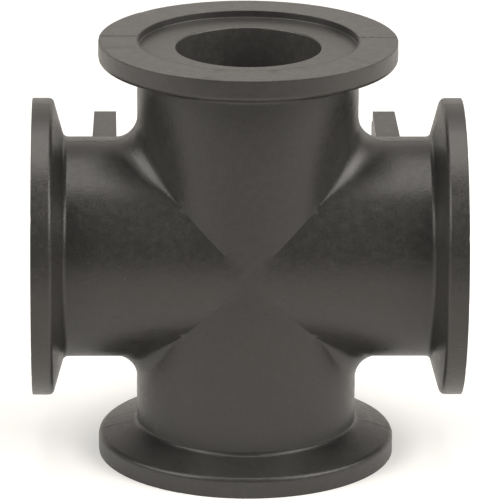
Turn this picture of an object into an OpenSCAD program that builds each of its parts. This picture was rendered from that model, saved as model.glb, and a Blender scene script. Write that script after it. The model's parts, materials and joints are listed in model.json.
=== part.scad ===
/* [Arms] */
// Distance from the centre of the cross to each port face
port_reach = 55; // [52:0.5:80]
// Outer diameter of each arm
arm_d = 56.4; // [51:0.2:60]
// Diameter of the bore through each pair of arms
bore_d = 37; // [25:0.5:44]
// Radius of the fillet in the four corners between the arms, where it is largest
corner_fillet = 6.8; // [3:0.1:7.5]

/* [Flanges] */
// Outer diameter of each flange
flange_d = 76.2; // [70:0.2:80]
// Thickness of the flange at its rim
rim_t = 5.2; // [3.5:0.1:7]
// Slope of the back of the flange, in degrees from the port face
back_slope = 16; // [8:1:22]
// Radius of the edge between the rim and the back of the flange
rim_round = 1.4; // [0.4:0.1:2]
// Radius of the fillet between the back of the flange and the arm
root_fillet = 1.5; // [0.5:0.1:3]

/* [Gasket recess] */
// Diameter of the recess in each port face
recess_d = 56; // [48:0.5:64]
// Depth of the recess
recess_depth = 1.8; // [1:0.1:4]
// Radius of the corner at the foot of the recess wall
recess_fillet = 0.5; // [0.2:0.1:0.9]
// Radius of the lip where the bore opens into the recess
lip_round = 1; // [0.3:0.1:2]

/* [Rear feet] */
// Gap between the two feet, behind the upright arms
foot_gap = 67.4; // [66:0.2:72]
// Thickness of each foot at its outer end
foot_t = 5.6; // [4:0.2:7]
// Draft of each side of a foot, in degrees
foot_draft = 0.8; // [0:0.1:2]
// Radius of the fillet between the sides of a foot and the arm
foot_fillet = 1.2; // [0.4:0.1:2]
// Height of a foot where it leaves the arm
foot_h = 49.9; // [30:0.1:50]
// Depth from the axis to the shoulder of a foot
shoulder_depth = 38.1; // [34:0.1:42]
// Height of the pad that stands out past the shoulder
pad_h = 41.4; // [24:0.2:46]
// Depth from the axis to the face of the pad
pad_depth = 44.6; // [43:0.2:52]
// Size of the bevel round the pad's upper and lower corners
pad_bevel = 1.2; // [0.4:0.1:2]

/* [Hidden] */
$fn = 96;
arm_r = arm_d / 2;
bore_r = bore_d / 2;
flange_r = flange_d / 2;
recess_r = recess_d / 2;
// Steps along each small round in a profile
round_steps = 6;
// Steps along a corner fillet, and across its arc
fillet_steps = 44;
fillet_arc_steps = 8;
// How far the corner fillet sinks into the arms so that the two surfaces cross
fillet_sink = 0.05;
// Where a corner fillet starts and ends, in degrees round the arm from the front
fillet_start = 46;
fillet_end = 134;
// Radius that a corner fillet keeps where it has died out inside the wall
fillet_least = 0.2;
// Depth at which a foot starts, inside the wall of the arm
foot_root = bore_r * 0.5;
// Length by which a cut runs past the face that it opens
overcut = 1;

// Points of an arc round (x, y) from angle a to angle b
function arc(x, y, r, a, b, steps) =
    [for (i = [0:steps]) let (t = a + (b - a) * i / steps) [x + r * cos(t), y + r * sin(t)]];

// The back of a flange at radius r from its axis
function back_z(r) = port_reach - rim_t - (flange_r - r) * tan(back_slope);

// Half outline of a pair of arms above its middle: radius, then distance along the axis
function arm_outline() =
    let (
        rim_centre = [flange_r - rim_round,
                      back_z(flange_r) + rim_round * (1 / cos(back_slope) - tan(back_slope))],
        root_centre = [arm_r + root_fillet,
                       back_z(arm_r + root_fillet) - root_fillet / cos(back_slope)]
    )
    concat(
        arc(root_centre[0], root_centre[1], root_fillet, 180, 90 + back_slope, round_steps),
        arc(rim_centre[0], rim_centre[1], rim_round, back_slope - 90, 0, round_steps),
        [[flange_r, port_reach], [0, port_reach]]
    );

// One straight run of two arms with a flange at each end, along Z and still solid
module run() {
    half = arm_outline();
    mirrored = [for (i = [len(half) - 1:-1:0]) [half[i][0], -half[i][1]]];
    rotate_extrude() polygon(concat(mirrored, half));
}

// What a gasket recess and the lip of the bore take away, above the middle of a run
function recess_outline() =
    let (
        floor_z = port_reach - recess_depth,
        corner_r = recess_r - recess_fillet
    )
    concat(
        arc(bore_r + lip_round, floor_z - lip_round, lip_round, 180, 90, round_steps),
        arc(corner_r, floor_z + recess_fillet, recess_fillet, -90, 0, round_steps),
        [[recess_r, port_reach + overcut], [0, port_reach + overcut]]
    );

// The bore of one run with the recess at each end, along Z
module run_bore() {
    half = recess_outline();
    mirrored = [for (i = [len(half) - 1:-1:0]) [half[i][0], -half[i][1]]];
    rotate_extrude() polygon(concat(mirrored, half));
}

// Lays what stands along Z along X
module sideways() {
    rotate([0, 90, 0]) children();
}

// Radius of the corner fillet at angle a from the front: full at the side, it dies out towards front and back
function fillet_r(a) = max(fillet_least, corner_fillet * (1 - pow(cos(a) / sin(a), 2)));

// Centre of the rolling ball at angle a from the front, between the arms +X and +Z
function ball(a) =
    let (reach = arm_r + fillet_r(a) - fillet_sink)
    [reach * sin(a), -reach * cos(a), reach * sin(a)];

// Unit vector at share s of the way round the ball, from the upright arm to the level arm
function ball_normal(a, s) =
    let (
        upright = [sin(a), -cos(a), 0],
        level = [0, -cos(a), sin(a)],
        spread = acos(cos(a) * cos(a))
    )
    (upright * sin((1 - s) * spread) + level * sin(s * spread)) / sin(spread);

// Cross-section of the fillet at angle a: the ball's arc, closed inside the wall of the arms
function fillet_ring(a) =
    let (
        inner = (arm_r + bore_r) / 2,
        anchor = [inner * sin(a), -inner * cos(a), inner * sin(a)]
    )
    concat(
        [for (i = [0:fillet_arc_steps]) ball(a) - fillet_r(a) * ball_normal(a, i / fillet_arc_steps)],
        [anchor]
    );

// The fillet in the corner between the arms +X and +Z, swept from the front to the back
module corner_web() {
    ring_n = fillet_arc_steps + 2;
    step = (fillet_end - fillet_start) / fillet_steps;
    points = [for (k = [0:fillet_steps]) each fillet_ring(fillet_start + k * step)];
    sides = [for (k = [0:fillet_steps - 1]) for (i = [0:ring_n - 1])
        let (
            j = (i + 1) % ring_n,
            here = k * ring_n,
            next = here + ring_n
        )
        each [[here + i, here + j, next + j], [here + i, next + j, next + i]]];
    start_cap = [for (i = [1:ring_n - 2]) [0, i + 1, i]];
    last = fillet_steps * ring_n;
    end_cap = [for (i = [1:ring_n - 2]) [last, last + i, last + i + 1]];
    polyhedron(points, concat(sides, start_cap, end_cap), convexity = 4);
}

// Side view of a foot: depth from the axis, then height
module foot_side() {
    polygon([
        [foot_root, -foot_h / 2],
        [shoulder_depth, -foot_h / 2],
        [shoulder_depth, -pad_h / 2],
        [pad_depth - pad_bevel, -pad_h / 2],
        [pad_depth, -pad_h / 2 + pad_bevel],
        [pad_depth, pad_h / 2 - pad_bevel],
        [pad_depth - pad_bevel, pad_h / 2],
        [shoulder_depth, pad_h / 2],
        [shoulder_depth, foot_h / 2],
        [foot_root, foot_h / 2]
    ]);
}

// Sides of the right foot at a depth from the axis: it thins towards its pad so that it leaves the mould
function foot_inner_x(depth) = foot_gap / 2 - (pad_depth - depth) * tan(foot_draft) / 2;
function foot_outer_x(depth) = foot_gap / 2 + foot_t + (pad_depth - depth) * tan(foot_draft);

// Plan of the right foot
module foot_plan() {
    polygon([
        [foot_inner_x(foot_root), foot_root],
        [foot_outer_x(foot_root), foot_root],
        [foot_outer_x(pad_depth), pad_depth],
        [foot_inner_x(pad_depth), pad_depth]
    ]);
}

// The right foot, from inside the wall of the level arm to its pad
module foot() {
    span = foot_gap + 4 * foot_t;
    intersection() {
        rotate([90, 0, 90]) linear_extrude(span) foot_side();
        translate([0, 0, -foot_h]) linear_extrude(2 * foot_h) foot_plan();
    }
}

// Outline of the fillet along both sides of a foot: radius from the level axis, then distance along it
function foot_fillet_outline() =
    let (
        shallow = sqrt(arm_r * arm_r - foot_h * foot_h / 4),
        inner_x = foot_inner_x((shallow + arm_r) / 2),
        outer_x = foot_outer_x((shallow + arm_r) / 2),
        round_r = arm_r + foot_fillet,
        wall_r = (arm_r + bore_r) / 2
    )
    concat(
        [[wall_r, outer_x + foot_fillet]],
        arc(round_r, outer_x + foot_fillet, foot_fillet + fillet_sink, 180, 270, round_steps),
        arc(round_r, inner_x - foot_fillet, foot_fillet + fillet_sink, 90, 180, round_steps),
        [[wall_r, inner_x - foot_fillet]]
    );

// The fillet that blends the right foot into the level arm, cut level with the foot's ends
module foot_blend() {
    span = foot_gap + 4 * foot_t;
    intersection() {
        sideways() rotate_extrude() polygon(foot_fillet_outline());
        translate([0, foot_root, -foot_h / 2]) cube([span, pad_depth, foot_h]);
    }
}

// The whole fitting: two crossing runs, their corner fillets and the rear feet, then the bores
module cross_body() {
    color([0.21, 0.21, 0.2]) difference() {
        union() {
            run();
            sideways() run();
            for (turn = [0:90:270]) rotate([0, turn, 0]) corner_web();
            for (side = [0, 1]) mirror([side, 0, 0]) {
                foot();
                foot_blend();
            }
        }
        run_bore();
        sideways() run_bore();
    }
}

cross_body();
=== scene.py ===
import json
import math
from contextlib import contextmanager

import bmesh
import bpy
from mathutils import Matrix, Vector

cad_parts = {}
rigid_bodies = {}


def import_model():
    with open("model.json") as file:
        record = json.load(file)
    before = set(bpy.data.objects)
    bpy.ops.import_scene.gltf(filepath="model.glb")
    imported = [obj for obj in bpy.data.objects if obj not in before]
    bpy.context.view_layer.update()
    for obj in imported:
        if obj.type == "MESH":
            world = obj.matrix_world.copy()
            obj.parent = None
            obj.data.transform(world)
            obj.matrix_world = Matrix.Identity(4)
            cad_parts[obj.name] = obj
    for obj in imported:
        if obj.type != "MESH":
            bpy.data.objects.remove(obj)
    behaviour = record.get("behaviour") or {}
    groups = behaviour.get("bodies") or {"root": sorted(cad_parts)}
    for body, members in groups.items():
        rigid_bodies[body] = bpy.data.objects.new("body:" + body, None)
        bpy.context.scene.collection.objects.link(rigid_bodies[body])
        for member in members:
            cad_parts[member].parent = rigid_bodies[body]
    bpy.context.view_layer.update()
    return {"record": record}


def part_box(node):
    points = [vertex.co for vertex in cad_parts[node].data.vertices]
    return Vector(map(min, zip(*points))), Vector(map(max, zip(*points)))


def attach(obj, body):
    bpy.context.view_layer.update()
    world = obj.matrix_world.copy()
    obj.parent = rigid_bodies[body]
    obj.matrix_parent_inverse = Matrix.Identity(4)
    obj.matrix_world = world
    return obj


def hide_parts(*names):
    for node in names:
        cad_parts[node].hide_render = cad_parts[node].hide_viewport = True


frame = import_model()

solidLow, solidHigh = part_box("cross_body")
mountSizes = {mount["name"]: mount["dims"] for mount in frame["record"]["mounts"]}
mm = 0.001


class Wire:  # a node's output that can be used in sums
    def __init__(self, graph, socket):
        self.graph = graph
        self.socket = socket

    def math(self, operation, *others):
        values = dict(enumerate((self, *others)))
        return self.graph.add("ShaderNodeMath", {"operation": operation}, values)

    def __add__(self, other):
        return self.math("ADD", other)

    def __sub__(self, other):
        return self.math("SUBTRACT", other)

    def __rsub__(self, other):
        return self.graph.add("ShaderNodeMath", {"operation": "SUBTRACT"}, {0: other, 1: self})

    def __mul__(self, other):
        return self.math("MULTIPLY", other)

    def __truediv__(self, other):
        return self.math("DIVIDE", other)

    def __abs__(self):
        return self.math("ABSOLUTE")

    __radd__ = __add__
    __rmul__ = __mul__

    def above(self, edge):
        return self.math("GREATER_THAN", edge)

    def below(self, edge):
        return self.math("LESS_THAN", edge)

    def ramp(self, low, high, start=0.0, end=1.0):  # smooth step from start to end
        settings = {"interpolation_type": "SMOOTHSTEP"}
        values = {0: self, 1: low, 2: high, 3: start, 4: end}
        return self.graph.add("ShaderNodeMapRange", settings, values)

    def fade(self, low, high):  # smooth step from one to nothing
        return self.ramp(low, high, 1.0, 0.0)


class Graph:  # a node tree that is filled one node at a time
    def __init__(self, tree):
        self.tree = tree

    def add(self, kind, settings=None, values=None, output=0):
        made = self.tree.nodes.new(kind)
        for name, value in (settings or {}).items():
            setattr(made, name, value)
        for key, value in (values or {}).items():
            parts = value if isinstance(value, list) else [value]
            for part in parts:
                if isinstance(part, Wire):
                    self.tree.links.new(part.socket, made.inputs[key])
                else:
                    made.inputs[key].default_value = part
        return Wire(self, made.outputs[output])

    def feed(self, source, node, name):
        self.tree.links.new(source.socket, node.inputs[name])

    def vector(self, operation, first, second=(0, 0, 0), output=0):
        return self.add("ShaderNodeVectorMath", {"operation": operation}, {0: first, 1: second}, output)

    def scaled(self, source, factor):
        return self.add("ShaderNodeVectorMath", {"operation": "SCALE"}, {0: source, "Scale": factor})

    def join(self, x, y, z):
        return self.add("ShaderNodeCombineXYZ", None, {0: x, 1: y, 2: z})

    def split(self, source):
        return [self.add("ShaderNodeSeparateXYZ", None, {0: source}, part) for part in range(3)]

    def noise(self, place, scale, detail, roughness=0.5):
        values = {"Vector": place, "Scale": float(scale), "Detail": float(detail), "Roughness": roughness}
        return self.add("ShaderNodeTexNoise", None, values)

    def moved(self, mesh, **values):
        return self.add("GeometryNodeSetPosition", None, {"Geometry": mesh, **values})


# The moulding: four flanged arms with rounded corners between them
moulding = {
    "reach": solidHigh[2],                        # centre to port face
    "flangeRadius": mountSizes["top_rim"]["r_mm"] * mm,
    "recessRadius": mountSizes["top_recess"]["r_mm"] * mm,
    "boreRadius": mountSizes["upright_bore"]["r_mm"] * mm,
    "armRadius": 28.2 * mm,
    "cornerFillet": 6.8 * mm,                     # at the side, where it is largest
    "filletFade": (0.36, 0.72),                   # squared sines where it starts and levels off
    "filletSide": (0.7, 1.0),                     # and where the rest comes in, up to the side
    "fadeShare": 0.78,                            # share of the radius that the first one brings
    "rimThickness": 5.2 * mm,
    "backSlope": math.radians(16),
    "rimRound": 1.4 * mm,
    "rootFillet": 1.5 * mm,
    "faceEdge": 0.16 * mm,                        # wear on the edge round each face
    "recessEdge": 0.12 * mm,
    "recessDepth": 1.8 * mm,
    "recessFillet": 0.3 * mm,
    "lipRound": 0.5 * mm,
    "rows": {"arm": 18, "root": 8, "rim": 6, "edge": 3, "foot": 5, "lip": 8, "bore": 14},
    "backRows": (0.06, 0.3, 0.6, 0.94),           # shares of the way up the back of a flange
    "guard": 0.25 * mm,                           # rows this far from a round keep flats evenly shaded
    "columns": 192,                               # steps round each arm
    "arcSteps": 14,                               # steps across a corner fillet
    "seamWidth": 0.16 * mm,                       # half width of the parting line's ridge
    "seamHeight": 0.05 * mm,
    "seamEnd": (0.9 * mm, 0.3 * mm),              # it dies out between these distances from a port face
    "edgeNicks": 0.09 * mm,                       # depth of the nicks in the edges
    "trimWidth": 0.8 * mm,                        # the trimmed stretch of the top face's edge
    "trimDepth": 0.2 * mm,
    "trimFront": (-17 * mm, -9 * mm),             # where it fades at its two ends
    "trimBack": (-2 * mm, 1.5 * mm),
    "sharpAngle": math.radians(16),               # edges steeper than this aren't smoothed
}


def arcPoints(x, z, radius, start, end, steps):
    angles = [math.radians(start + (end - start) * i / steps) for i in range(steps + 1)]
    return [(x + radius * math.cos(t), z + radius * math.sin(t)) for t in angles]


def armProfile(size):  # radius, share of the corner's rise and height, from the corner round to the bore
    slope, rows, guard = size["backSlope"], size["rows"], size["guard"]
    slopeDegrees = math.degrees(slope)
    arm, flange, reach = size["armRadius"], size["flangeRadius"], size["reach"]
    recess, bore = size["recessRadius"], size["boreRadius"]
    edge, inner = size["faceEdge"], size["recessEdge"]
    foot, lip = size["recessFillet"], size["lipRound"]
    floor = reach - size["recessDepth"]

    def backHeight(radius):
        return reach - size["rimThickness"] - (flange - radius) * math.tan(slope)

    rootX = arm + size["rootFillet"]
    rootZ = backHeight(rootX) - size["rootFillet"] / math.cos(slope)
    rimX = flange - size["rimRound"]
    rimZ = backHeight(flange) + size["rimRound"] * (1 / math.cos(slope) - math.tan(slope))
    root = arcPoints(rootX, rootZ, size["rootFillet"], 180, 90 + slopeDegrees, rows["root"])
    rim = arcPoints(rimX, rimZ, size["rimRound"], slopeDegrees - 90, 0, rows["rim"])
    back = [tuple(a + (b - a) * share for a, b in zip(root[-1], rim[0])) for share in size["backRows"]]
    outline = root + back + rim
    outline += [(flange, rimZ + guard), (flange, (rimZ + reach) / 2), (flange, reach - edge - guard)]
    outline += arcPoints(flange - edge, reach - edge, edge, 0, 90, rows["edge"])
    outline += [(flange - edge - guard, reach), ((flange + recess) / 2, reach)]
    outline += [(recess + inner + guard, reach)]
    outside = len(outline)
    outline += arcPoints(recess + inner, reach - inner, inner, 90, 180, rows["edge"])
    outline += [(recess, reach - inner - guard), (recess, floor + foot + guard / 2)]
    outline += arcPoints(recess - foot, floor + foot, foot, 0, -90, rows["foot"])
    outline += [(recess - foot - guard, floor), ((recess + bore) / 2, floor), (bore + lip + guard, floor)]
    outline += arcPoints(bore + lip, floor - lip, lip, 90, 180, rows["lip"])

    lipZ = floor - lip
    profile = [(arm, 1 - i / rows["arm"], rootZ * i / rows["arm"]) for i in range(rows["arm"])]
    profile += [(x, 0.0, z) for x, z in outline]
    profile += [(bore, i / rows["bore"], lipZ * (1 - i / rows["bore"]))
                for i in range(1, rows["bore"] + 1)]
    return profile, rows["arm"] + outside


def angleAround(graph, column, size):  # two columns each side of the parting line are drawn in to it
    seamDegrees = math.degrees(size["seamWidth"] / size["armRadius"])
    step = 360 / size["columns"]
    angle = column * step
    across = (angle / 180).math("FLOOR") * 180 + 90
    offset = angle - across
    first = abs(offset).below(step * 1.5)
    second = abs(offset).below(step * 2.5) - first
    drawnIn = first * (seamDegrees / step) + second * (1.1 * seamDegrees / step) + (1 - first - second)
    return (across + offset * drawnIn) * math.radians(1)


def filletAt(sine, largest, size):  # the corner fillet dies out softly towards the front and the back
    squared = sine * sine
    share = squared.ramp(*size["filletFade"]) * size["fadeShare"]
    share = share + squared.ramp(*size["filletSide"]) * (1 - size["fadeShare"])
    return share * largest


def quarterTurns(graph, mesh):  # one copy on each of the four arms
    spot = graph.add("GeometryNodePoints", None, {"Count": 4, "Position": (0, 0, 0)})
    turn = graph.join(0.0, graph.add("GeometryNodeInputIndex") * math.radians(90), 0.0)
    values = {"Points": spot, "Instance": mesh, "Rotation": turn}
    placed = graph.add("GeometryNodeInstanceOnPoints", None, values)
    return graph.add("GeometryNodeRealizeInstances", None, {0: placed})


def mark(graph, mesh, name, value):
    settings = {"data_type": "FLOAT", "domain": "POINT"}
    values = {"Geometry": mesh, "Name": name, "Value": value}
    return graph.add("GeometryNodeStoreNamedAttribute", settings, values)


def armSheet(graph, inputs, size, rowCount, outsideRows):  # the profile row by row, turned column by column
    index = graph.add("GeometryNodeInputIndex")
    counts = {"Vertices X": size["columns"] + 1, "Vertices Y": rowCount}
    sheet = graph.add("GeometryNodeMeshGrid", None, counts)
    column = ((index + 0.5) / rowCount).math("FLOOR")
    row = index - column * rowCount
    angle = angleAround(graph, column, size)
    place = graph.add("GeometryNodeInputPosition")
    sampled = graph.add("GeometryNodeSampleIndex", {"data_type": "FLOAT_VECTOR", "domain": "POINT"},
                        {"Geometry": inputs["Profile"], "Value": place, "Index": row})
    radius, share, height = graph.split(sampled)
    sine, cosine = angle.math("SINE"), angle.math("COSINE")
    outside = row.below(outsideRows)
    cornerRise = inputs["Arm Radius"] + filletAt(sine, inputs["Corner Fillet"], size)
    rise = outside * cornerRise + (1 - outside) * inputs["Bore Radius"]
    spot = graph.join(radius * sine, radius * cosine * -1, height + share * rise * abs(sine))
    return mark(graph, graph.moved(sheet, Position=spot), "outside", outside)


def cornerStrip(graph, inputs, size):  # a ball rolled between two arms, from the front to the back
    index = graph.add("GeometryNodeInputIndex")
    arcCount = size["arcSteps"] + 1
    counts = {"Vertices X": size["columns"] // 2 + 1, "Vertices Y": arcCount}
    strip = graph.add("GeometryNodeMeshGrid", None, counts)
    ring = ((index + 0.5) / arcCount).math("FLOOR")
    across = (index - ring * arcCount) / size["arcSteps"]
    sweep = angleAround(graph, ring, size)
    sine, cosine = sweep.math("SINE"), sweep.math("COSINE")
    upright = graph.join(sine, cosine * -1, 0.0)
    level = graph.join(0.0, cosine * -1, sine)
    # a Mix node's vectors are its inputs 4 and 5 and its output 1
    blend = graph.add("ShaderNodeMix", {"data_type": "VECTOR"}, {0: across, 4: upright, 5: level}, 1)
    normal = graph.vector("NORMALIZE", blend)
    ball = filletAt(sine, inputs["Corner Fillet"], size)
    rise = inputs["Arm Radius"] + ball
    ballSpot = graph.join(rise * sine, rise * cosine * -1, rise * sine)
    spot = graph.vector("ADD", ballSpot, graph.scaled(normal, ball * -1))
    corner = graph.moved(strip, Position=spot)
    corner = graph.add("GeometryNodeFlipFaces", None, {"Mesh": corner})
    return mark(graph, corner, "outside", 1.0)


def mouldedMarks(graph, inputs, size, whole):
    place = graph.add("GeometryNodeInputPosition")
    outward = graph.add("GeometryNodeInputNormal")
    x, y, z = graph.split(place)
    along = abs(x).math("MAXIMUM", abs(z))
    stored = graph.add("GeometryNodeInputNamedAttribute", {"data_type": "FLOAT"}, {"Name": "outside"})
    onOutside = stored.above(0.5)

    # the parting line: a thin uneven ridge on the outside that dies out before it reaches a port face
    closeTo = 0.002 * mm
    onLine = abs(y).below(closeTo) * onOutside
    lift = inputs["Seam Height"] * graph.noise(place, 260, 2).ramp(0.3, 0.7, 0.25, 1.0)
    lift = lift * along.fade(*(size["reach"] - end for end in size["seamEnd"]))
    whole = graph.moved(whole, Selection=onLine, Offset=graph.scaled(outward, lift))

    # little nicks along the sharp edges round the port faces
    nearEdge = along.above(size["reach"] - size["faceEdge"] * 1.2) * onOutside
    depth = inputs["Edge Nicks"] * graph.noise(place, 420, 3).ramp(0.56, 0.74) * -1
    whole = graph.moved(whole, Selection=nearEdge, Offset=graph.scaled(outward, depth))

    # the edge of the top face is trimmed off for a stretch on the left
    fromAxis = (x * x + y * y).math("SQRT")
    trimmed = y.ramp(*size["trimFront"]) * y.fade(*size["trimBack"]) * x.below(0.0) * onOutside
    trimmed = trimmed * z.above(size["reach"] - 0.3 * mm) * fromAxis.above(size["flangeRadius"] - 0.5 * mm)
    height = (z - (size["reach"] - size["faceEdge"])) / size["faceEdge"]
    inward = trimmed * height * (-size["trimWidth"] / size["flangeRadius"])
    push = graph.join(x * inward, y * inward, trimmed * (height - 1) * size["trimDepth"])
    return graph.moved(whole, Offset=push)


def mouldingTree(size, rowCount, outsideRows):
    tree = bpy.data.node_groups.new("flangedCross", "GeometryNodeTree")
    face = tree.interface
    face.new_socket("Profile", in_out="INPUT", socket_type="NodeSocketGeometry")
    for name in ("Arm Radius", "Bore Radius", "Corner Fillet", "Seam Height", "Edge Nicks"):
        face.new_socket(name, in_out="INPUT", socket_type="NodeSocketFloat")
    face.new_socket("Finish", in_out="INPUT", socket_type="NodeSocketMaterial")
    face.new_socket("Mesh", in_out="OUTPUT", socket_type="NodeSocketGeometry")
    graph = Graph(tree)
    given = tree.nodes.new("NodeGroupInput")
    inputs = {socket.name: Wire(graph, socket) for socket in given.outputs if socket.name}
    arms = quarterTurns(graph, armSheet(graph, inputs, size, rowCount, outsideRows))
    corners = quarterTurns(graph, cornerStrip(graph, inputs, size))
    whole = graph.add("GeometryNodeJoinGeometry", None, {0: [arms, corners]})
    values = {"Geometry": whole, "Distance": 0.0008 * mm}
    whole = graph.add("GeometryNodeMergeByDistance", None, values)
    whole = mouldedMarks(graph, inputs, size, whole)
    values = {"Geometry": whole, "Material": inputs["Finish"]}
    whole = graph.add("GeometryNodeSetMaterial", None, values)
    graph.feed(whole, tree.nodes.new("NodeGroupOutput"), 0)
    return tree


def newObject(name, mesh):
    made = bpy.data.objects.new(name, mesh)
    bpy.context.scene.collection.objects.link(made)
    return made


def makeMoulding(size, finish):
    profile, outsideRows = armProfile(size)
    outline = bpy.data.meshes.new("armOutline")
    outline.from_pydata(profile, [], [])
    source = newObject("armOutline", outline)
    tree = mouldingTree(size, len(profile), outsideRows)
    modifier = source.modifiers.new("flangedCross", "NODES")
    modifier.node_group = tree
    wanted = {
        "Arm Radius": size["armRadius"],
        "Bore Radius": size["boreRadius"],
        "Corner Fillet": size["cornerFillet"],
        "Seam Height": size["seamHeight"],
        "Edge Nicks": size["edgeNicks"],
        "Finish": finish,
    }
    for item in tree.interface.items_tree:
        if item.name in wanted and item.in_out == "INPUT":
            modifier[item.identifier] = wanted[item.name]
    shape = source.evaluated_get(bpy.context.evaluated_depsgraph_get())
    mesh = bpy.data.meshes.new_from_object(shape)
    bpy.data.objects.remove(source)
    mesh.name = "moulding"
    return newObject("moulding", mesh)


@contextmanager
def editing(mesh):
    work = bmesh.new()
    work.from_mesh(mesh)
    yield work
    work.to_mesh(mesh)
    work.free()


def closedMesh(name, points, faces):
    mesh = bpy.data.meshes.new(name)
    mesh.from_pydata(points, [], faces)
    with editing(mesh) as work:
        bmesh.ops.remove_doubles(work, verts=work.verts, dist=0.0005 * mm)
        bmesh.ops.recalc_face_normals(work, faces=work.faces)
    return mesh


# The feet behind the level arms, which keep the clamps off the panel
feet = {
    "gap": 67.4 * mm,
    "thickness": 5.6 * mm,
    "draft": math.tan(math.radians(0.8)),
    "height": 49.9 * mm,
    "shoulder": 38.1 * mm,                        # depth of the step above and below the pad
    "padHeight": 41.4 * mm,
    "padDepth": solidHigh[1],
    "padBevel": 1.2 * mm,
    "edgeRound": 0.25 * mm,
    "roundedDepth": 25.5 * mm,                    # edges are rounded this far in from the shoulder
    "rootRadius": 26.6 * mm,                      # inside the wall of the arm
    "rootSteps": 14,                              # from the middle of the root to each end
    "fillet": 1.2 * mm,
    "filletSink": 0.02 * mm,                      # so that it crosses the arm and the foot
    "filletWall": 1.5 * mm,                       # how far its ring goes into the arm
    "filletSteps": 8,
    "filletSweep": 144,                           # degrees round the arm, before it is cut off
    "filletTurns": 60,
}


def footSide(size, depth, outer):  # x of a side face, which leans by the draft
    lean = (size["padDepth"] - depth) * size["draft"]
    if outer:
        return size["gap"] / 2 + size["thickness"] + lean
    return size["gap"] / 2 - lean / 2


def makeFoot(size, side):
    half, padHalf, bevel = size["height"] / 2, size["padHeight"] / 2, size["padBevel"]
    rootRadius, rootSteps = size["rootRadius"], size["rootSteps"]
    back = [
        (size["shoulder"], half), (size["shoulder"], padHalf), (size["padDepth"] - bevel, padHalf),
        (size["padDepth"], padHalf - bevel), (size["padDepth"], bevel - padHalf),
        (size["padDepth"] - bevel, -padHalf), (size["shoulder"], -padHalf), (size["shoulder"], -half),
    ]
    limit = math.asin(half / rootRadius)
    angles = [limit * (i / rootSteps - 1) for i in range(2 * rootSteps + 1)]
    outline = back + [(rootRadius * math.cos(t), rootRadius * math.sin(t)) for t in angles]
    count = len(outline)
    points = [(side * footSide(size, y, outer), y, z) for outer in (False, True) for y, z in outline]
    faces = [list(range(count)), list(range(count, 2 * count))]
    faces += [(i, (i + 1) % count, (i + 1) % count + count, i + count) for i in range(count)]
    mesh = closedMesh("foot", points, faces)

    def shows(edge):
        ends = [point.co for point in edge.verts]
        return (edge.calc_face_angle(0) > 0.5
                and all(end.y > size["shoulder"] - size["roundedDepth"] for end in ends)
                and any(math.hypot(end.y, end.z) > rootRadius + 0.1 * mm for end in ends))

    with editing(mesh) as work:
        bmesh.ops.bevel(work, geom=[edge for edge in work.edges if shows(edge)], offset=size["edgeRound"],
                        segments=3, profile=0.5, affect="EDGES", clamp_overlap=True)
    return newObject("foot", mesh)


def makeFootFillet(size, armRadius, side):  # a ring of fillet round the arm, cut off at the foot's ends
    radius, steps, turns = size["fillet"], size["filletSteps"], size["filletTurns"]
    shallow = math.sqrt(armRadius ** 2 - size["height"] ** 2 / 4)
    inner, outer = (footSide(size, (shallow + armRadius) / 2, end) for end in (False, True))
    wall, sunk = armRadius - size["filletWall"], radius + size["filletSink"]
    profile = [(outer + radius, wall)]
    profile += arcPoints(outer + radius, armRadius + radius, sunk, 270, 180, steps)
    profile += arcPoints(inner - radius, armRadius + radius, sunk, 0, -90, steps)
    profile += [(inner - radius, wall)]
    count = len(profile)
    points = []
    for k in range(turns + 1):
        t = math.radians(size["filletSweep"] * k / turns - size["filletSweep"] / 2)
        points += [(side * x, r * math.cos(t), r * math.sin(t)) for x, r in profile]
    faces = []
    for k in range(turns):
        here, beyond = k * count, (k + 1) * count
        for i in range(count):
            j = (i + 1) % count
            faces.append([here + i, here + j, beyond + j, beyond + i])
    faces += [list(range(count)), list(range(turns * count, (turns + 1) * count))]
    mesh = closedMesh("footFillet", points, faces)
    with editing(mesh) as work:
        for end in (1, -1):
            cut = (0, 0, end * (size["height"] / 2 - size["edgeRound"]))
            everything = list(work.verts) + list(work.edges) + list(work.faces)
            bmesh.ops.bisect_plane(work, geom=everything, plane_co=cut, plane_no=(0, 0, end),
                                   clear_outer=True)
            rim = [edge for edge in work.edges if edge.is_boundary]
            bmesh.ops.holes_fill(work, edges=rim, sides=0)
        bmesh.ops.recalc_face_normals(work, faces=work.faces)
    return newObject("footFillet", mesh)


def unite(body, pieces, finish):
    for piece in pieces:
        piece.data.materials.append(finish)
        modifier = body.modifiers.new("unite", "BOOLEAN")
        modifier.operation = "UNION"
        modifier.solver = "MANIFOLD"
        modifier.object = piece
    shape = body.evaluated_get(bpy.context.evaluated_depsgraph_get())
    united = bpy.data.meshes.new_from_object(shape)
    body.modifiers.clear()
    united.materials.clear()
    united.materials.append(finish)
    for face in united.polygons:
        face.material_index = 0
    body.data = united
    for piece in pieces:
        bpy.data.objects.remove(piece)


def finishMesh(body, sharpAngle):
    with editing(body.data) as work:
        for face in work.faces:
            face.smooth = True
        for edge in work.edges:
            edge.smooth = edge.calc_face_angle(0) < sharpAngle
        loose = sum(1 for edge in work.edges if len(edge.link_faces) != 2)
        volume = round(work.calc_volume() * 1e6, 2)
        print("body:", len(work.faces), "faces,", loose, "open edges,", volume, "cm3")


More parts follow.
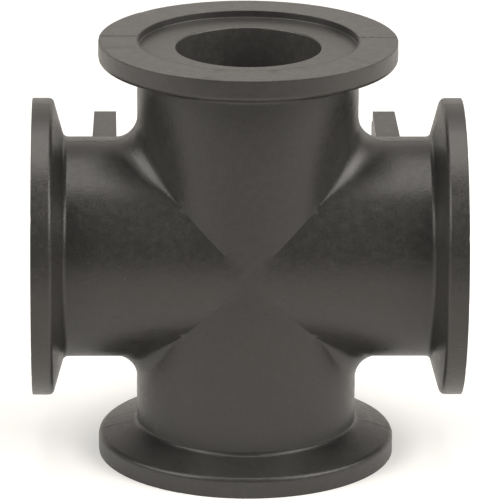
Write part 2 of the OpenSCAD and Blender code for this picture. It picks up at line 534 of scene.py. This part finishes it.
# The plastic: black and satin, a little warm, with a fine grain and a mottled skin
plastic = {
    "colour": (0.0368, 0.0354, 0.0335),
    "roughness": 0.33,
    "mottle": 0.8,                                # share by which the tone wanders
    "grain": 0.035 * mm,                          # height of the fine grain
    "waves": 0.065 * mm,                          # height of the slow unevenness
    "scales": {"cloud": 60, "mottle": 500, "grain": 2600, "breaks": 900, "specks": 160},
    "deepest": {"mottle": -0.12, "grain": -0.1, "tone": -0.09},
    "seamTone": 0.65,                             # the parting line is a little darker
    "faceLineTone": 0.5,                          # and darker still across the port faces, as painted shadow of the parting line's small ridge there
    "recessLineTone": 0.55,                       # painted shade: a dark line round the edge of each gasket recess
    "witnessTone": 1.25,                          # faint straight line on the left of the top face
    # painted light: the inside of each bore is drawn paler than the plastic is
    "boreLightTone": 1.35,
    "speckTone": 1.7,
    "seam": (0.08 * mm, 0.2 * mm),                # half widths of each line's core and of all of it
    "faceLineShadow": (0.3 * mm, 0.65 * mm),
    "recessShadeLine": (0.1 * mm, 0.35 * mm),
    "witness": (0.05 * mm, 0.2 * mm),
    "witnessPlace": -28 * mm,
    "topLineBack": 2.95 * mm,                     # the line on the top face lies a little further back
    "topLineTurn": -0.017,
    "dent": 0.4,                                  # depth of a mark against its size
}
marks = [  # spot and size in millimetres, then how much paler or darker it is
    ((-28.8, 3.4, 55.0), 0.6, 0.1),               # pit where the parting line meets the recess, dented, with its darkness painted shade
    ((-31.4, -28.2, 0.5), 0.28, 2.2),             # pale specks
    ((50.7, -37.6, -6.3), 0.3, 2.2),
    ((-41.6, 1.5, 28.2), 0.6, 0.55),              # rough spots on the parting line, top left
    ((-38.8, -0.3, 28.2), 0.5, 0.6),
    ((-37.4, -0.8, 28.2), 0.6, 1.3),
    ((-54.0, 2.4, 38.0), 0.5, 1.9),               # ragged flash on the left rim
    ((-53.4, 1.3, 38.1), 0.4, 1.7),
    ((-52.8, 0.2, 38.1), 0.35, 1.9),
    ((-36.9, 0.5, -47.6), 0.7, 0.6),              # along the parting line of the lower flange
    ((53.5, -34.6, -15.9), 0.4, 1.35),            # scuff on the right rim
    ((52.8, -34.5, -15.9), 0.3, 1.35),
    ((54.2, -34.7, -15.9), 0.3, 1.35),
]


def plasticFinish(look, size):
    finish = bpy.data.materials.new("mouldedPlastic")
    finish.use_nodes = True
    graph = Graph(finish.node_tree)
    shader = finish.node_tree.nodes["Principled BSDF"]
    place = graph.add("ShaderNodeTexCoord", output="Object")
    x, y, z = graph.split(place)
    scales, deepest = look["scales"], look["deepest"]

    def tinted(shade, mask, tone):
        return shade * (mask * (tone - 1) + 1)

    cloud = graph.noise(place, scales["cloud"], 3) - 0.5
    mottle = (graph.noise(place, scales["mottle"], 4, 0.7) - 0.5).math("MAXIMUM", deepest["mottle"])
    grain = (graph.noise(place, scales["grain"], 2) - 0.5).math("MAXIMUM", deepest["grain"])
    broken = (graph.noise(place, scales["breaks"], 2) - 0.5).ramp(-0.12, 0.12, 0.3, 1.0)
    tone = (cloud * 0.5 + mottle + grain * 0.8).math("MAXIMUM", deepest["tone"])
    shade = tone * look["mottle"] + 1

    fromAxis = [(y * y + other * other).math("SQRT") for other in (x, z)]
    axial = fromAxis[0].math("MINIMUM", fromAxis[1])  # distance from the nearer bore axis
    onFace = abs(x).math("MAXIMUM", abs(z)).above(size["reach"] - 0.12 * mm)
    across = abs(x).math("MINIMUM", abs(z))
    wider = abs(z).above(48 * mm) * 2 + 1         # on the backs of the upright's flanges
    seam = (abs(y) / wider).fade(*look["seam"]) * across.above(size["armRadius"] - 0.3 * mm)
    seam = seam * (1 - onFace) * broken
    shifted = z.above(0.0) * (x * look["topLineTurn"] + look["topLineBack"])
    # painted shadow: a dark line across each port face where the parting line's small ridge throws its
    # shadow
    faceLineShadow = abs(y - shifted + mottle * mm).fade(*look["faceLineShadow"]) * onFace
    # painted shade: a dark line just outside the edge of each recess
    recessShadeLine = abs(axial - size["recessRadius"] - 0.2 * mm).fade(*look["recessShadeLine"]) * onFace
    onTopFront = y.below(-1 * mm) * z.above(size["reach"] - 0.2 * mm)
    witness = abs(x - look["witnessPlace"]).fade(*look["witness"]) * onTopFront
    speck = graph.add("ShaderNodeTexVoronoi", None, {"Vector": place, "Scale": float(scales["specks"])})
    shade = tinted(shade, seam, look["seamTone"])
    shade = tinted(shade, faceLineShadow * broken, look["faceLineTone"])
    shade = tinted(shade, recessShadeLine * broken, look["recessLineTone"])
    shade = tinted(shade, witness * broken, look["witnessTone"])
    # painted light: inside each bore the plastic is drawn paler
    shade = tinted(shade, axial.below(size["boreRadius"] + 0.4 * mm), look["boreLightTone"])
    shade = tinted(shade, speck.fade(0.02, 0.04), look["speckTone"])

    dents = 0.0
    for spot, width, strength in marks:
        away = graph.vector("DISTANCE", place, tuple(part * mm for part in spot), 1) / mm
        inside = (away + mottle * width * 2).fade(width * 0.5, width * 1.3)
        shade = tinted(shade, inside, strength)
        dents = inside * (look["dent"] * width * (strength - 1)) + dents

    rough = cloud * 0.08 + mottle * 0.3 + grain * 0.2 + seam * 0.1 + look["roughness"]
    rough = rough + (faceLineShadow * broken + recessShadeLine * 0.5) * 0.3
    height = mottle * (look["waves"] / mm) + grain * (look["grain"] / mm) + dents
    bump = graph.add("ShaderNodeBump", None, {"Strength": 1.0, "Distance": mm, "Height": height})
    graph.feed(graph.scaled(look["colour"], shade), shader, "Base Color")
    graph.feed(rough, shader, "Roughness")
    graph.feed(bump, shader, "Normal")
    return finish


# Camera, floor and light
view = {
    "azimuth": math.radians(-1.397),
    "elevation": math.radians(17.913),
    "roll": math.radians(0.421),
    "distance": 1358.3 * mm,
    "target": (0.803 * mm, 0, -1.048 * mm),
    "lens": 380.5,
    "sensor": 36,
    "clip": (0.05, 50),
}


def direction(azimuth, elevation):  # round from the front and up from the floor
    level = math.cos(elevation)
    return Vector((math.sin(azimuth) * level, -math.cos(azimuth) * level, math.sin(elevation)))


def placeCamera(wanted):
    camera = newObject("camera", bpy.data.cameras.new("camera"))
    back = direction(wanted["azimuth"], wanted["elevation"])
    right = Vector((0, 0, 1)).cross(back).normalized()
    up = back.cross(right)
    turn, lean = math.cos(wanted["roll"]), math.sin(wanted["roll"])
    axes = Matrix((right * turn + up * lean, up * turn - right * lean, back)).transposed().to_4x4()
    spot = Vector(wanted["target"]) + back * wanted["distance"]
    camera.matrix_world = Matrix.Translation(spot) @ axes
    camera.data.sensor_width = wanted["sensor"]
    camera.data.lens = wanted["lens"]
    camera.data.clip_start, camera.data.clip_end = wanted["clip"]
    bpy.context.scene.camera = camera


# A softbox overhead, one at each side, a pale sweep behind, a dark room in front; 1 is white
studio = {
    "fill": 0.24,                                 # plain light from all round
    "background": 1.0,
    "sweep": (0.92, 0.64),                        # the sweep, as the plastic mirrors it: low, then high
    "walls": (0.1, 0.45),                         # left and right, behind the object's middle
    "canopy": 1.3,                                # above the side softboxes
    "room": 0.02,
    "warmth": (1.0, 0.94, 0.88),                  # tint of what the plastic mirrors
    "lampColour": (1.0, 0.965, 0.92),
    "sweepEdge": (-0.2, 0.2),                     # where each fades, as parts of a ray's direction
    "sweepRise": (0.2, 0.4),
    "wallsEdge": (-0.5, 0.5),
    "wallsDepth": (-0.3, 0.2),
    "canopyRise": (0.65, 0.85),
    "canopyDepth": (-0.5, -0.1),
    "floorPaint": (0.8, 0.775, 0.74),
    "floorSize": 3.0,
    "floorFront": 0.7,                            # how the plastic mirrors the floor in front
    "floorGlow": 0.35,                            # lifts the floor to white for the camera alone
    "floorNear": 0.25,                            # light that the floor throws up from round the object
    "floorSides": 0.25,                           # and from further out at its sides
    "frontEdge": (-0.26, -0.1),                   # where these fade, in metres
    "nearEdge": (0.07, 0.12),
    "sidesEdge": (0.12, 0.35),
}
softboxes = {  # degrees round from the front and up from the floor, then metres, and brightness
    "overhead": {"azimuth": 180, "elevation": 82, "distance": 0.9,
                 "width": 0.52, "height": 0.72, "level": 2.55},
    "rightSide": {"azimuth": 70, "elevation": 38, "distance": 0.8,
                  "width": 0.74, "height": 0.56, "level": 4.8},
    "leftSide": {"azimuth": -70, "elevation": 38, "distance": 0.8,
                 "width": 0.74, "height": 0.56, "level": 3.9},
}


def makeWorld(light):
    world = bpy.data.worlds.new("studio")
    world.use_nodes = True
    world.cycles.sampling_method = "NONE"
    bpy.context.scene.world = world
    graph = Graph(world.node_tree)
    surface = world.node_tree.nodes["Background"]
    camera, through, glossy = (graph.add("ShaderNodeLightPath", output=f"Is {kind} Ray")
                               for kind in ("Camera", "Transmission", "Glossy"))
    seen = camera.math("MAXIMUM", through)
    x, y, z = graph.split(graph.add("ShaderNodeTexCoord", output="Object"))
    room = light["room"]
    behind = (y - abs(x)).ramp(*light["sweepEdge"])
    walls = x.ramp(*light["wallsEdge"], *light["walls"])
    beside = y.ramp(*light["wallsDepth"]) * (walls - room) + room
    canopy = z.ramp(*light["canopyRise"]) * y.ramp(*light["canopyDepth"])
    beside = beside + canopy * (light["canopy"] - beside)
    mirrored = behind * z.ramp(*light["sweepRise"], *light["sweep"]) + (1 - behind) * beside
    strength = seen * light["background"] + (1 - seen) * (glossy * mirrored + (1 - glossy) * light["fill"])
    # a Mix node's colours are its inputs 6 and 7 and its output 2
    values = {0: glossy, 6: (1, 1, 1, 1), 7: (*light["warmth"], 1)}
    tint = graph.add("ShaderNodeMix", {"data_type": "RGBA"}, values, 2)
    graph.feed(strength, surface, "Strength")
    graph.feed(tint, surface, "Color")


def makeFloor(light, height):
    half = light["floorSize"]
    corners = [(-half, -half, height), (half, -half, height), (half, half, height), (-half, half, height)]
    mesh = bpy.data.meshes.new("floor")
    mesh.from_pydata(corners, [], [(0, 1, 2, 3)])
    floor = newObject("floor", mesh)
    paint = bpy.data.materials.new("paleFloor")
    paint.use_nodes = True
    paint.cycles.emission_sampling = "NONE"
    graph = Graph(paint.node_tree)
    shader = paint.node_tree.nodes["Principled BSDF"]
    shader.inputs["Roughness"].default_value = 1.0
    shader.inputs["Specular IOR Level"].default_value = 0.0
    shader.inputs["Emission Color"].default_value = (1, 1, 1, 1)
    camera = graph.add("ShaderNodeLightPath", output="Is Camera Ray")
    place = graph.add("ShaderNodeTexCoord", output="Object")
    x, y = graph.split(place)[:2]
    near = graph.vector("LENGTH", place, output=1).fade(*light["nearEdge"])
    share = (1 - camera) * y.fade(*light["frontEdge"]) * (light["floorFront"] - 1) + 1
    thrown = near * light["floorNear"] + abs(x).ramp(*light["sidesEdge"]) * light["floorSides"]
    graph.feed(graph.scaled(light["floorPaint"], share), shader, "Base Color")
    graph.feed(camera * light["floorGlow"] + (1 - camera) * thrown, shader, "Emission Strength")
    floor.data.materials.append(paint)


def makeSoftbox(name, box, colour):
    lamp = bpy.data.lights.new(name, "AREA")
    lamp.shape = "RECTANGLE"
    lamp.size, lamp.size_y = box["width"], box["height"]
    lamp.energy = box["level"] * math.pi * box["width"] * box["height"]
    lamp.color = colour
    made = newObject(name, lamp)
    away = direction(math.radians(box["azimuth"]), math.radians(box["elevation"]))
    made.location = away * box["distance"]
    made.rotation_euler = away.to_track_quat("Z", "Y").to_euler()


blackPlastic = plasticFinish(plastic, moulding)
body = makeMoulding(moulding, blackPlastic)
print("arms, flanges and corner fillets made")
pieces = []
for side in (1, -1):
    pieces += [makeFoot(feet, side), makeFootFillet(feet, moulding["armRadius"], side)]
unite(body, pieces, blackPlastic)
finishMesh(body, moulding["sharpAngle"])
body.name = "flangedCross"
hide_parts("cross_body")
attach(body, "root")
print("feet joined on")

placeCamera(view)
makeWorld(studio)
makeFloor(studio, solidLow[2])
for name, box in softboxes.items():
    makeSoftbox(name, box, studio["lampColour"])
bpy.context.scene.view_settings.view_transform = "Standard"
print("studio made")
